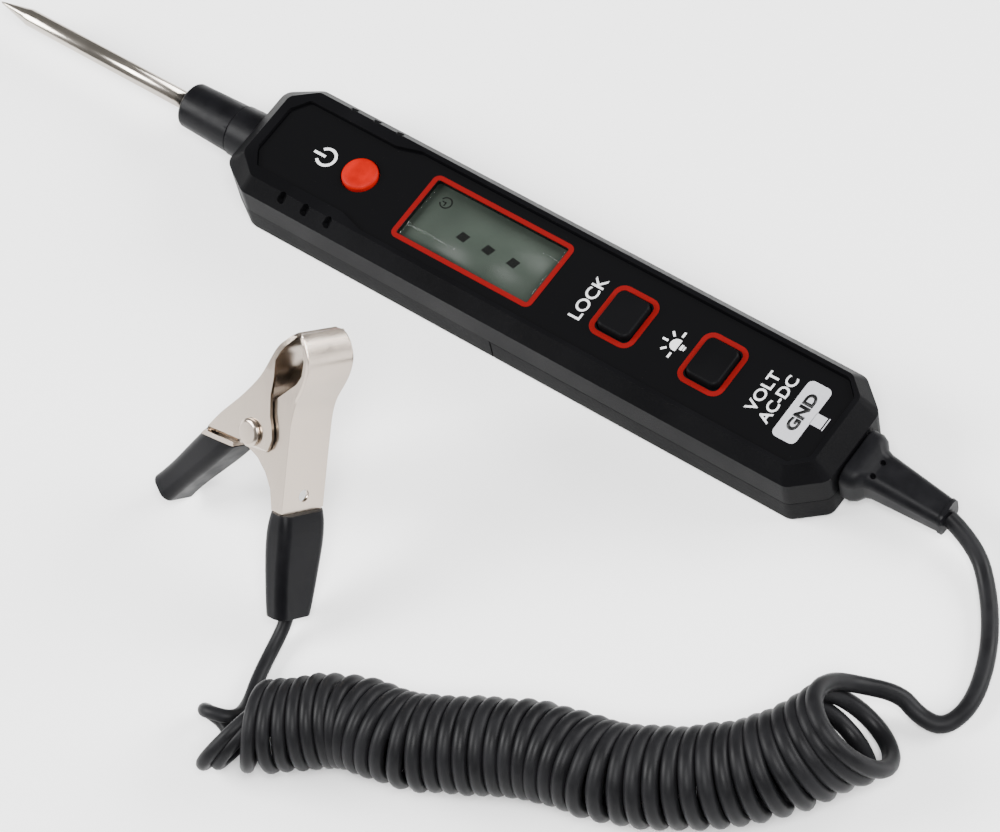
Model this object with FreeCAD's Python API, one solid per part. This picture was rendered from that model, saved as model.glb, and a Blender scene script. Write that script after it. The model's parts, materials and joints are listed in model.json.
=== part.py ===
"""Automotive circuit test light with a pocket-size digital tester body, a needle probe,
a curly ground lead and a sprung battery clip.  Millimetres, +Z up.

The tester lies on its back.  +X points to the probe tip, +Y is the operator's left when the
display is read with the probe up, and the origin is under the middle of the tester, on the
surface that it lies on.  The lead runs along that surface to the clip, which stands on the
ends of its two handles.
"""
import FreeCAD, Part
import math
import os
from FreeCAD import Vector as V

os.makedirs("parts", exist_ok=True)

# ---------------------------------------------------------------- driving dimensions
LENGTH = 228.0            # tester, from the tail face to the probe's tip
BODY_LENGTH = 153.5       # moulded case
HALF_WIDTH = 15.0         # case, at the crease under the shoulder
PANEL_Z = 17.3            # glossy face plate, above the surface
RIM_Z = 18.1              # rim that stands round the face plate
CREASE_Z = 14.3           # foot of the sloping shoulder
PARTING_Z = 7.3           # joint between the upper and the lower mouldings
PROBE_Z = 8.3             # axis of the probe and of the cord gland
WALL = 1.6                # case wall
SEAM_X = -32.4            # joint between the rear shell and the battery cover
PLATE = 1.2               # face plate thickness
GAP = 0.1                 # clearance between assembled pieces

TAIL_X = -LENGTH / 2
TIP_X = LENGTH / 2
NOSE_X = TAIL_X + BODY_LENGTH

NOTCH_X = 21.8            # first of three grip notches on each side
NOTCH_STEP = 6.1

POWER_X = 10.7            # button centres along the case
HOLD_X = -57.9
LIGHT_X = -80.0
KEY_LENGTH, KEY_WIDTH = 8.0, 9.8
KEY_TOP_Z = 18.9
POWER_R = 4.0
POWER_TOP_Z = 18.5
TRAVEL = 0.6              # push of each button

LCD_X0, LCD_X1 = -38.5, -4.6   # clear window, between its printed borders
LCD_HALF = 7.7

BOARD_Z = 12.2            # underside of the circuit board
BOARD_T = 1.0
BOARD_TOP = BOARD_Z + BOARD_T

CELL_R = 5.1              # AAA cells, side by side under the keys
CELL_LENGTH = 44.5
CELL_X0 = -104.6          # tail end of the cells
CELL_Y = 5.35
CELL_Z = 6.75

NEEDLE_R = 2.0
ROOT_R = 1.8              # the needle's hidden root, in its sleeve and its holder
SLEEVE_END_X = NOSE_X + 19.8
CONE = 8.5

LEAD_D = 3.6              # the cord is thicker at the tester than at the clip
TAIL_D = 2.9
COIL_R = 10.0             # outer radius of the curly part

CLIP_PIVOT = V(-17.2, 62.9, 28.2)   # middle of the clip's rivet
CLIP_HEADING = -71.5      # the nose points this way round Z
CLIP_RISE = 46.0          # the nose rises from the handles
CLIP_ROLL = -27.0         # the clip leans on its handles
SHEET = 0.8               # clip's steel
CHANNEL = 5.6             # half width of the fixed jaw's channel


# ---------------------------------------------------------------- helpers
def save(node, *solids):
    """One STEP for one named piece, or for a group of equal pieces."""
    shape = solids[0] if len(solids) == 1 else Part.makeCompound(list(solids))
    volume = sum(s.Volume for s in shape.Solids)
    print("%-22s solids %d  valid %s  volume %9.1f" % (node, len(shape.Solids), shape.isValid(), volume))
    shape.exportStep("parts/" + node + ".step")


def box(x0, x1, y0, y1, z0, z1):
    return Part.makeBox(x1 - x0, y1 - y0, z1 - z0, V(x0, y0, z0))


def rod(radius, start, end):
    axis = end.sub(start)
    return Part.makeCylinder(radius, axis.Length, start, axis)


def rounded_wire(points, radius):
    """Closed wire through corner points, each corner an arc of the given radius."""
    count = len(points)
    radii = radius if isinstance(radius, (list, tuple)) else [radius] * count
    starts, mids, ends = [], [], []
    for i, corner in enumerate(points):
        to_last = points[i - 1].sub(corner).normalize()
        to_next = points[(i + 1) % count].sub(corner).normalize()
        half = math.acos(max(-1.0, min(1.0, to_last.dot(to_next)))) / 2
        cut = radii[i] / math.tan(half)
        bisector = to_last.add(to_next).normalize()
        centre = corner.add(bisector.multiply(radii[i] / math.sin(half)))
        starts.append(corner.add(to_last.multiply(cut)))
        ends.append(corner.add(to_next.multiply(cut)))
        mids.append(centre.add(corner.sub(centre).normalize().multiply(radii[i])))
    edges = []
    for i in range(count):
        edges.append(Part.Arc(starts[i], mids[i], ends[i]).toShape())
        edges.append(Part.LineSegment(ends[i], starts[(i + 1) % count]).toShape())
    return Part.Wire(edges)


def prism(wire, height):
    return Part.Face(wire).extrude(V(0, 0, height))


def octagon(nose, tail, half, nose_half, tail_half, nose_cut, tail_cut, z):
    """Corners of the case's plan: a rectangle with its four corners cut."""
    return [V(nose, -nose_half, z), V(nose, nose_half, z),
            V(nose - nose_cut, half, z), V(tail + tail_cut, half, z),
            V(tail, tail_half, z), V(tail, -tail_half, z),
            V(tail + tail_cut, -half, z), V(nose - nose_cut, -half, z)]


def case_plan(inset, z, nose=NOSE_X, tail=TAIL_X):
    """The case's outline at the crease, moved inwards by a given amount."""
    corners = octagon(nose - inset, tail + inset, HALF_WIDTH - inset,
                      10.4 - 0.55 * inset, 9.3 - 0.5 * inset, 7.3 - 0.3 * inset, 6.8 - 0.3 * inset, z)
    return rounded_wire(corners, max(0.6, 3.0 - inset))


def rim_plan(z):
    """The case's outline at the top of the shoulder."""
    return rounded_wire(octagon(NOSE_X - 3.6, TAIL_X + 3.8, 12.4, 8.2, 8.6, 5.3, 4.4, z), 2.2)


def plate_plan(inset, z):
    """The face plate: wide round the display and the keys, narrower at the nose."""
    narrow, wide = 9.6 - inset, 11.3 - inset
    nose, tail = 33.8 - inset, -109.0 + inset
    half = [V(nose, 5.6 - 0.4 * inset, z), V(nose - 2.8, narrow, z), V(8.0, narrow, z), V(2.2, wide, z),
            V(tail + 3.4, wide, z), V(tail, 8.0 - 0.4 * inset, z)]
    other = [V(p.x, -p.y, p.z) for p in reversed(half)]
    return rounded_wire(half + other, [1.2, 1.2, 3.0, 3.0, 1.2, 1.2, 1.2, 1.2, 3.0, 3.0, 1.2, 1.2])


def rounded_box(x0, x1, y0, y1, z0, z1, radius):
    corners = [V(x0, y0, z0), V(x1, y0, z0), V(x1, y1, z0), V(x0, y1, z0)]
    return prism(rounded_wire(corners, radius), z1 - z0)


def route_wire(points, name, diameter):
    """Straight runs joined by tangent arcs, each as large as its two runs allow."""
    ends_in, ends_out, mids, radii = [], [], [], []
    for i in range(1, len(points) - 1):
        corner = points[i]
        back = points[i - 1].sub(corner)
        ahead = points[i + 1].sub(corner)
        shorter = min(back.Length, ahead.Length)
        back.normalize()
        ahead.normalize()
        turn = math.pi - math.acos(max(-1.0, min(1.0, back.dot(ahead))))
        cut = 0.45 * shorter
        radius = cut / math.tan(turn / 2)
        radii.append(radius)
        centre = corner.add((back + ahead).normalize().multiply(radius / math.cos(turn / 2)))
        ends_in.append(corner + back * cut)
        ends_out.append(corner + ahead * cut)
        mids.append(centre + (corner - centre).normalize() * radius)
    edges = [Part.LineSegment(points[0], ends_in[0]).toShape()]
    for i in range(len(mids)):
        edges.append(Part.Arc(ends_in[i], mids[i], ends_out[i]).toShape())
        last = points[-1] if i == len(mids) - 1 else ends_in[i + 1]
        edges.append(Part.LineSegment(ends_out[i], last).toShape())
    print(name, "radii in diameters", [round(r / diameter, 1) for r in radii])
    return Part.Wire(edges)


def tube(points, diameter, name):
    wire = route_wire(points, name, diameter)
    start = wire.Edges[0]
    section = Part.Wire(Part.makeCircle(diameter / 2, points[0], start.tangentAt(start.FirstParameter)))
    solid = Part.Wire(wire.Edges).makePipeShell([section], True, False)
    expected = math.pi * diameter ** 2 / 4 * wire.Length
    print("%s length %.1f volume ratio %.4f lowest %.2f"
          % (name, wire.Length, solid.Volume / expected, solid.optimalBoundingBox(False).ZMin))
    return solid


def oval_wire(x, half_y, half_z, z):
    """Ellipse across the X axis."""
    curve = Part.Ellipse(V(0, 0, 0), max(half_y, half_z), min(half_y, half_z))
    wire = Part.Wire(curve.toShape())
    if half_y >= half_z:
        turn = FreeCAD.Rotation(V(0, 1, 0), V(0, 0, 1), V(1, 0, 0), "ZXY")
    else:
        turn = FreeCAD.Rotation(V(0, 0, 1), V(0, -1, 0), V(1, 0, 0), "ZXY")
    wire.Placement = FreeCAD.Placement(V(x, 0, z), turn)
    return wire


# ---------------------------------------------------------------- case
def key_opening(centre_x, extra, z0, z1):
    return rounded_box(centre_x - KEY_LENGTH / 2 - extra, centre_x + KEY_LENGTH / 2 + extra,
                       -KEY_WIDTH / 2 - extra, KEY_WIDTH / 2 + extra, z0, z1, 1.6 + extra)


def board_post(x, y):
    return rod(1.9, V(x, y, BOARD_TOP + 0.02), V(x, y, 15.2))


BOARD_SCREWS = [(28.0, 6.2), (28.0, -6.2), (-47.0, 9.0), (-47.0, -9.0)]
CASE_SCREWS = [(19.5, 11.0), (19.5, -11.0), (1.6, 11.0), (1.6, -11.0)]
COVER_SCREW = (-50.5, 0.0)
SADDLES = (25.0, 31.0)


def front_shell():
    """Upper moulding: side walls, shoulder, rim and the recess for the face plate."""
    walls = prism(case_plan(0, PARTING_Z), CREASE_Z - PARTING_Z)
    shoulder = Part.makeLoft([case_plan(0, CREASE_Z), rim_plan(RIM_Z)], True, True)
    shell = walls.fuse(shoulder).removeSplitter()
    floor_z = PANEL_Z - PLATE
    shell = shell.cut(prism(case_plan(WALL, PARTING_Z - 1), 14.2 - PARTING_Z + 1))
    shell = shell.cut(prism(case_plan(4.2, 14.0), 14.7 - 14.0))
    shell = shell.cut(prism(plate_plan(-GAP, floor_z), RIM_Z - floor_z + 1))
    lip, half = 1.6, LCD_HALF + 1.6
    shell = shell.cut(rounded_box(LCD_X0 - lip, LCD_X1 + lip, -half, half, 14.0, 17.0, 0.8))
    for centre in (HOLD_X, LIGHT_X):
        shell = shell.cut(key_opening(centre, 0.35, 14.0, 17.0))
    shell = shell.cut(rod(POWER_R + 0.35, V(POWER_X, 0, 14.0), V(POWER_X, 0, 17.0)))
    posts = [board_post(x, y) for x, y in BOARD_SCREWS]
    posts += [rod(2.3, V(x, y, PARTING_Z + 0.1), V(x, y, 15.0)) for x, y in CASE_SCREWS]
    for x in SADDLES:
        posts.append(box(x - 0.8, x + 0.8, -9.5, 9.5, PROBE_Z + 0.1, BOARD_Z - 0.2))
        posts.append(box(x - 0.8, x + 0.8, -14.0, -8.8, PROBE_Z + 0.1, 14.9))
        posts.append(box(x - 0.8, x + 0.8, 8.8, 14.0, PROBE_Z + 0.1, 14.9))
    shell = shell.fuse(posts).removeSplitter()
    for x, y in BOARD_SCREWS:
        shell = shell.cut(rod(0.8, V(x, y, 12.5), V(x, y, 14.9)))
    for x, y in CASE_SCREWS:
        shell = shell.cut(rod(1.0, V(x, y, 7.0), V(x, y, 13.5)))
    shell = shell.cut(rod(3.55, V(18.0, 0, PROBE_Z), V(37.0, 0, PROBE_Z)))
    shell = shell.cut(rod(5.0, V(36.0, 0, PROBE_Z), V(NOSE_X + 2, 0, PROBE_Z)))
    shell = shell.cut(gland_slot())
    for i in range(3):
        for side in (-1, 1):
            shell = shell.cut(grip_notch(NOTCH_X - i * NOTCH_STEP, side))
    return shell


def grip_notch(x, side):
    """Short slanted groove across the shoulder beside the power button."""
    groove = rounded_box(-0.75, 0.75, -1.5, 1.5, -0.75, 2.0, 0.6)
    groove.rotate(V(0, 0, 0), V(1, 0, 0), -side * 52.0)
    groove.rotate(V(0, 0, 0), V(0, 0, 1), -side * 32.0)
    groove.translate(V(x, side * 12.9, 16.9))
    return groove


def gland_slot():
    """Oval slot in the tail wall that holds the cord gland's waist."""
    return Part.makeLoft([oval_wire(TAIL_X - 1, 4.6, 3.9, PROBE_Z),
                          oval_wire(TAIL_X + 4.0, 4.6, 3.9, PROBE_Z)], True, True)


def lower_block(tail, nose):
    """Solid of the lower mouldings between two places along the case, with rounded bottom edges."""
    bevels = [(1.5, 0.0), (0.75, 0.2), (0.2, 0.75), (0.0, 1.5)]
    layers = [case_plan(inset, z) for inset, z in bevels]
    block = Part.makeLoft(layers, True, True).fuse(prism(case_plan(0, 1.5), PARTING_Z - 1.5))
    return block.removeSplitter().common(box(tail, nose, -20, 20, -1, PARTING_Z))


def rear_shell():
    """Lower moulding of the probe end."""
    shell = lower_block(SEAM_X, NOSE_X + 1).cut(
        prism(case_plan(WALL, WALL), PARTING_Z).common(box(SEAM_X + WALL, NOSE_X, -20, 20, 0, 9)))
    posts = [rod(3.1, V(x, y, 1.0), V(x, y, PARTING_Z)) for x, y in CASE_SCREWS]
    for x in SADDLES:
        posts.append(box(x - 0.8, x + 0.8, -14.0, 14.0, 1.0, PARTING_Z))
    shell = shell.fuse(posts).removeSplitter()
    shell = shell.cut(rod(3.55, V(18.0, 0, PROBE_Z), V(37.0, 0, PROBE_Z)))
    shell = shell.cut(rod(5.0, V(36.0, 0, PROBE_Z), V(NOSE_X + 2, 0, PROBE_Z)))
    for x, y in CASE_SCREWS:
        shell = shell.cut(rod(1.25, V(x, y, 0), V(x, y, 9)))
        shell = shell.cut(rod(2.3, V(x, y, -1), V(x, y, 2.4)))
    return shell


def battery_cover():
    """Lower moulding of the tail end; it lifts off once its screw is out."""
    tail, nose = TAIL_X - 1, SEAM_X - 0.3
    cover = lower_block(tail, nose).cut(
        prism(case_plan(WALL, WALL), PARTING_Z).common(box(tail, nose - WALL, -20, 20, 0, 9)))
    cover = cover.common(box(tail, nose, -20, 20, -1, PARTING_Z - 0.15))
    tongues = [box(TAIL_X + 1.9, TAIL_X + 3.0, y - 0.8, y + 0.8, WALL, PARTING_Z + 1.4)
               for y in (-7.6, 7.6)]
    x, y = COVER_SCREW
    cover = cover.fuse(tongues + [rod(3.0, V(x, y, 1.0), V(x, y, 2.9))]).removeSplitter()
    cover = cover.cut(gland_slot())
    cover = cover.cut(rod(1.25, V(x, y, -1), V(x, y, 9)))
    return cover.cut(rod(2.35, V(x, y, -1), V(x, y, 1.5)))


def screw(x, y, head_z, tip_z, head_r, shank_r):
    """Pan-head screw driven upwards, with a cross recess."""
    head = rod(head_r, V(x, y, head_z), V(x, y, head_z + 1.1))
    body = head.fuse(rod(shank_r, V(x, y, head_z + 1.0), V(x, y, tip_z)))
    for a, b in ((head_r * 0.6, 0.25), (0.25, head_r * 0.6)):
        body = body.cut(box(x - a, x + a, y - b, y + b, head_z - 1, head_z + 0.6))
    return body


def nose_sleeve():
    """Insulating sleeve round the root of the needle; its inner flange is caught by the shells."""
    slim, root, collar_x = 5.15, 5.6, NOSE_X + 6.3
    cone = Part.makeCone(root, slim, SLEEVE_END_X - 1.0 - collar_x, V(collar_x, 0, PROBE_Z), V(1, 0, 0))
    collar = Part.makeCone(6.0, 5.8, 5.85, V(NOSE_X + 0.05, 0, PROBE_Z), V(1, 0, 0))
    waist = rod(5.45, V(collar_x - 0.5, 0, PROBE_Z), V(collar_x + 0.05, 0, PROBE_Z))
    lip_x = SLEEVE_END_X - 1.0
    lip = Part.makeTorus(slim - 1.0, 1.0, V(lip_x, 0, PROBE_Z), V(1, 0, 0))
    cap = rod(slim - 1.0, V(lip_x - 0.5, 0, PROBE_Z), V(SLEEVE_END_X, 0, PROBE_Z))
    neck = rod(4.9, V(36.2, 0, PROBE_Z), V(NOSE_X + 0.5, 0, PROBE_Z))
    flange = rod(5.8, V(36.2, 0, PROBE_Z), V(37.8, 0, PROBE_Z))
    sleeve = cone.fuse([collar, waist, lip, cap, neck, flange]).removeSplitter()
    return sleeve.cut(rod(ROOT_R + 0.03, V(30, 0, PROBE_Z), V(70, 0, PROBE_Z)))


def probe_needle():
    """Steel needle, a little thinner where the sleeve and the holder grip it."""
    root = rod(ROOT_R, V(27.0, 0, PROBE_Z), V(SLEEVE_END_X + 0.2, 0, PROBE_Z))
    shaft = rod(NEEDLE_R, V(SLEEVE_END_X + 0.2, 0, PROBE_Z), V(TIP_X - CONE, 0, PROBE_Z))
    point = Part.makeCone(NEEDLE_R, 0.18, CONE, V(TIP_X - CONE, 0, PROBE_Z), V(1, 0, 0))
    return shaft.fuse([root, point]).removeSplitter()


def probe_ferrule():
    """Brass holder that clamps the needle and takes its wire."""
    body = rod(3.5, V(23.0, 0, PROBE_Z), V(35.0, 0, PROBE_Z))
    body = body.fuse(rod(3.8, V(27.0, 0, PROBE_Z), V(29.0, 0, PROBE_Z)))
    return body.cut(rod(ROOT_R + 0.03, V(26.9, 0, PROBE_Z), V(36.0, 0, PROBE_Z)))


# ---------------------------------------------------------------- face
def face_plate():
    plate = prism(plate_plan(0, PANEL_Z - PLATE + 0.02), PLATE - 0.02)
    plate = plate.cut(rounded_box(LCD_X0, LCD_X1, -LCD_HALF, LCD_HALF, 15.0, 18.0, 0.6))
    for centre in (HOLD_X, LIGHT_X):
        plate = plate.cut(key_opening(centre, 0.3, 15.0, 18.0))
    return plate.cut(rod(POWER_R + 0.3, V(POWER_X, 0, 15.0), V(POWER_X, 0, 18.0)))


def display_window():
    half = LCD_HALF - 0.05
    return rounded_box(LCD_X0 + 0.05, LCD_X1 - 0.05, -half, half, 16.15, PANEL_Z - 0.05, 0.55)


def key_cap(centre_x):
    """Square-cornered rubber key: a crowned top, a hollow for its switch and a hidden flange."""
    top = Part.makeLoft([rounded_wire(key_corners(centre_x, 0.0, 14.2), 1.6),
                         rounded_wire(key_corners(centre_x, 0.0, KEY_TOP_Z - 0.6), 1.6),
                         rounded_wire(key_corners(centre_x, 0.22, KEY_TOP_Z - 0.15), 1.4),
                         rounded_wire(key_corners(centre_x, 0.7, KEY_TOP_Z), 1.2)], True, True)
    flange = prism(rounded_wire(key_corners(centre_x, -0.9, 14.0), 2.2), 0.5)
    cap = top.fuse(flange).removeSplitter()
    return cap.cut(box(centre_x - 2.7, centre_x + 2.7, -2.7, 2.7, 13.5, 15.1))


def key_corners(centre_x, inset, z):
    a, b = KEY_LENGTH / 2 - inset, KEY_WIDTH / 2 - inset
    return [V(centre_x - a, -b, z), V(centre_x + a, -b, z), V(centre_x + a, b, z), V(centre_x - a, b, z)]


def power_button():
    """Round button, slightly domed on top."""
    stem = rod(POWER_R, V(POWER_X, 0, 14.2), V(POWER_X, 0, POWER_TOP_Z - 0.7))
    edge = Part.makeCone(POWER_R, POWER_R - 0.35, 0.45, V(POWER_X, 0, POWER_TOP_Z - 0.7), V(0, 0, 1))
    dome = Part.makeCone(POWER_R - 0.35, POWER_R - 1.4, 0.25, V(POWER_X, 0, POWER_TOP_Z - 0.25), V(0, 0, 1))
    flange = rod(POWER_R + 0.9, V(POWER_X, 0, 14.0), V(POWER_X, 0, 14.5))
    button = stem.fuse([edge, dome, flange]).removeSplitter()
    return button.cut(box(POWER_X - 2.7, POWER_X + 2.7, -2.7, 2.7, 13.5, 15.1))


def switch_body(x):
    return box(x - 2.3, x + 2.3, -2.3, 2.3, BOARD_TOP, 13.9).cut(rod(1.25, V(x, 0, 13.0), V(x, 0, 15.0)))


def switch_plunger(x):
    return rod(1.1, V(x, 0, 13.95), V(x, 0, 15.1))


# ---------------------------------------------------------------- electronics
def main_board():
    """Circuit board under the face: narrow where the screw posts pass, with its fixing holes."""
    board = rounded_box(-92.0, 33.0, -8.6, 8.6, BOARD_Z, BOARD_TOP, 1.0)
    board = board.fuse(rounded_box(-52.0, -0.5, -11.8, 11.8, BOARD_Z, BOARD_TOP, 1.0)).removeSplitter()
    for x, y in BOARD_SCREWS:
        board = board.cut(rod(1.0, V(x, y, 12), V(x, y, 14)))
    for x, y in CASE_SCREWS:
        board = board.cut(rod(2.6, V(x, y, 12), V(x, y, 14)))
    return board


def board_parts():
    """Controller, input resistors, capacitors and the display's light source."""
    parts = [box(-34.0, -25.0, -4.5, 4.5, BOARD_Z - 1.2, BOARD_Z)]
    for i in range(4):
        parts.append(box(-20.0 + 4.4 * i, -17.4 + 4.4 * i, -6.5, -5.1, BOARD_Z - 0.7, BOARD_Z))
        parts.append(box(-20.0 + 4.4 * i, -17.4 + 4.4 * i, 5.1, 6.5, BOARD_Z - 0.7, BOARD_Z))
    parts.append(rod(2.2, V(4.0, -4.0, BOARD_Z - 3.0), V(4.0, -4.0, BOARD_Z)))
    parts.append(box(0.8, 2.4, -3.4, 3.4, BOARD_TOP, BOARD_TOP + 0.8))
    return parts


def battery_tray():
    """Open tray that keeps the two cells apart and carries their contacts and the cover's screw."""
    x, y = COVER_SCREW
    tail, nose = CELL_X0 - 3.5, CELL_X0 + CELL_LENGTH + 2.7
    tray = box(tail, nose + 0.9, -11.6, 11.6, 3.0, 12.1)
    tray = tray.cut(box(tail + 0.8, nose, -10.8, 10.8, 2.0, 13.0))
    tray = tray.fuse([box(CELL_X0, nose + 0.9, -0.12, 0.12, 3.0, 8.8), box(nose, x, -1.5, 1.5, 3.0, 12.1),
                      rod(2.6, V(x, y, 3.0), V(x, y, 12.1))]).removeSplitter()
    tray = tray.cut(rod(1.9, V(tail - 1, 0, PROBE_Z), V(tail + 1.2, 0, PROBE_Z)))
    return tray.cut(rod(1.12, V(x, y, 2.0), V(x, y, 10.0)))


def battery_cell(y):
    """AAA cell with its positive button."""
    flip = 1 if y > 0 else -1
    start = CELL_X0 if flip > 0 else CELL_X0 + CELL_LENGTH
    axis = V(flip, 0, 0)
    can = Part.makeCylinder(CELL_R, CELL_LENGTH - 1.0, V(start, y, CELL_Z), axis)
    knob = Part.makeCylinder(1.9, 1.2, V(start + flip * (CELL_LENGTH - 1.2), y, CELL_Z), axis)
    return can.fuse(knob).removeSplitter()


def contact_plate(x, y):
    return box(x - 0.2, x + 0.2, y - 4.0, y + 4.0, 3.0, 11.5)


def contact_spring(x_plate, y, towards):
    """Conical contact spring, as a thin cone shell."""
    outer = Part.makeCone(3.6, 2.2, 2.1, V(x_plate, y, CELL_Z), V(towards, 0, 0))
    inner = Part.makeCone(3.0, 1.6, 2.1, V(x_plate, y, CELL_Z), V(towards, 0, 0))
    return outer.cut(inner)


# ---------------------------------------------------------------- cord and gland
GLAND_END = V(-136.0, 0.0, 6.0)     # where the cord leaves its boot
LEAD = [GLAND_END, V(-144.0, 1.6, 3.9), V(-151.5, 8.5, 2.0), V(-157.6, 17.0, 1.85), V(-161.2, 26.0, 1.85),
        V(-160.8, 34.0, 1.85), V(-156.4, 38.0, 2.0), V(-150.6, 38.2, 2.6), V(-145.4, 40.4, 4.2),
        V(-141.6, 44.2, 7.0), V(-139.9, 49.0, 9.6)]
COIL = [V(-148.3, 49.4, COIL_R), V(-143.4, 57.8, COIL_R), V(-138.7, 65.6, COIL_R), V(-132.9, 71.3, COIL_R),
        V(-126.5, 76.4, COIL_R), V(-119.4, 80.5, COIL_R), V(-112.3, 83.9, COIL_R), V(-104.2, 85.4, COIL_R),
        V(-96.4, 87.6, COIL_R), V(-88.9, 91.5, COIL_R), V(-81.3, 95.8, COIL_R), V(-74.3, 99.4, COIL_R),
        V(-67.2, 100.5, COIL_R), V(-60.6, 102.1, COIL_R), V(-55.8, 105.6, COIL_R), V(-50.6, 110.6, COIL_R),
        V(-42.5, 118.5, COIL_R)]


def strain_relief():
    """Moulded gland: an inner flange, a waist in the tail wall, a bulb and a tapering boot."""
    flange = Part.makeLoft([oval_wire(TAIL_X + 4.8, 6.0, 4.6, PROBE_Z),
                            oval_wire(TAIL_X + 1.75, 6.4, 5.0, PROBE_Z)], True, True)
    waist = Part.makeLoft([oval_wire(TAIL_X + 4.0, 4.5, 3.8, PROBE_Z),
                           oval_wire(TAIL_X - 1.0, 4.5, 3.8, PROBE_Z)], True, True)
    sections = [(-114.1, 6.4, 4.7, 8.3), (-114.6, 7.0, 5.3, 8.3), (-116.6, 7.0, 5.3, 8.3),
                (-117.8, 6.4, 5.0, 8.25), (-119.0, 4.9, 4.4, 8.15), (-120.2, 4.5, 4.05, 8.0)]
    bulb = Part.makeLoft([block_wire(*section) for section in sections], True, True)
    boot_ends = [block_wire(-120.2, 4.5, 4.05, 8.0), block_wire(-135.2, 3.3, 3.0, 6.15)]
    lip_ends = [block_wire(-135.2, 3.5, 3.2, 6.15), block_wire(GLAND_END.x, 3.45, 3.15, GLAND_END.z)]
    boot = Part.makeLoft(boot_ends, True, True)
    lip = Part.makeLoft(lip_ends, True, True)
    gland = boot.fuse([bulb, waist, flange, lip]).removeSplitter()
    for x, y in ((-120.1, -1.0), (-120.0, 2.6)):
        gland = gland.cut(rod(0.6, V(x, y, 10.4), V(x, y, 14.0)))
    return gland


def block_wire(x, half_y, half_z, z):
    """Rounded rectangle across the X axis."""
    corners = [V(x, y * half_y, z + up * half_z) for y, up in ((-1, -1), (1, -1), (1, 1), (-1, 1))]
    return rounded_wire(corners, 0.62 * half_z)


def cord_clamp():
    """Bridge inside the tail that holds the gland's flange against the upper shell."""
    bridge = box(-109.15, -108.15, -9.0, 9.0, 3.2, 14.15)
    return bridge.cut(rod(1.9, V(-110, 0, PROBE_Z), V(-105, 0, PROBE_Z)))


# ---------------------------------------------------------------- clip, in its own frame
# x points to the nose, y from the fixed jaw's back to the moving jaw, z along the rivet.
FIXED_BACK = [V(-29.5, -9.95, 0), V(-14.0, -10.2, 0), V(2.0, -10.25, 0), V(6.6, -10.6, 0), V(9.4, -11.5, 0),
              V(12.2, -12.9, 0), V(15.4, -14.0, 0), V(18.2, -14.1, 0), V(20.8, -13.1, 0), V(23.3, -11.0, 0)]
MOVING_BACK = [V(23.3, -9.4, 0), V(21.6, -7.4, 0), V(19.3, -5.2, 0), V(16.4, -3.6, 0), V(13.0, -1.8, 0),
               V(9.0, 1.4, 0), V(5.0, 5.4, 0), V(1.6, 9.1, 0), V(-2.6, 12.9, 0), V(-9.3, 18.9, 0),
               V(-17.3, 26.5, 0)]
HANDLE_AXIS = V(-0.7, 0.7141, 0)


def smooth_edge(points):
    curve = Part.BSplineCurve()
    curve.interpolate(points)
    return curve.toShape()


def strip(points, towards, thickness, half):
    """Bent sheet: a smooth line thickened to one side and drawn across the clip's width."""
    moved = [p + towards * thickness for p in points]
    outer, inner = smooth_edge(points), smooth_edge(moved)
    first = Part.LineSegment(moved[0], points[0]).toShape()
    last = Part.LineSegment(points[-1], moved[-1]).toShape()
    face = Part.Face(Part.Wire(Part.__sortEdges__([outer, last, inner, first])))
    face.translate(V(0, 0, -half))
    return face.extrude(V(0, 0, 2 * half))


def side_sheet(edge_points, back_points, z, thickness):
    """Flat flange between a jaw's back and a polygonal free edge."""
    edges = [smooth_edge(back_points)]
    chain = [back_points[-1]] + edge_points + [back_points[0]]
    edges += [Part.LineSegment(a, b).toShape() for a, b in zip(chain, chain[1:])]
    face = Part.Face(Part.Wire(edges))
    face.translate(V(0, 0, z))
    return face.extrude(V(0, 0, thickness))


def plan_mask(stations):
    """Solid whose width across z follows the stations (x, half width), for trimming a jaw's back."""
    upper = [V(x, -40, half) for x, half in stations]
    lower = [V(x, -40, -half) for x, half in reversed(stations)]
    return Part.Face(Part.makePolygon(upper + lower + [upper[0]])).extrude(V(0, 90, 0))


def place(shape):
    shape.Placement = FreeCAD.Placement(CLIP_PIVOT, FreeCAD.Rotation(CLIP_HEADING, -CLIP_RISE, CLIP_ROLL))
    return shape


FIXED_MASK = [(23.4, 4.6), (23.2, 5.2), (22.6, 5.8), (21.0, 6.1), (18.0, 6.1), (14.0, 5.9), (9.0, CHANNEL),
              (-13.0, CHANNEL), (-15.5, CHANNEL - 0.6), (-37.0, CHANNEL - 0.6)]


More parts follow.
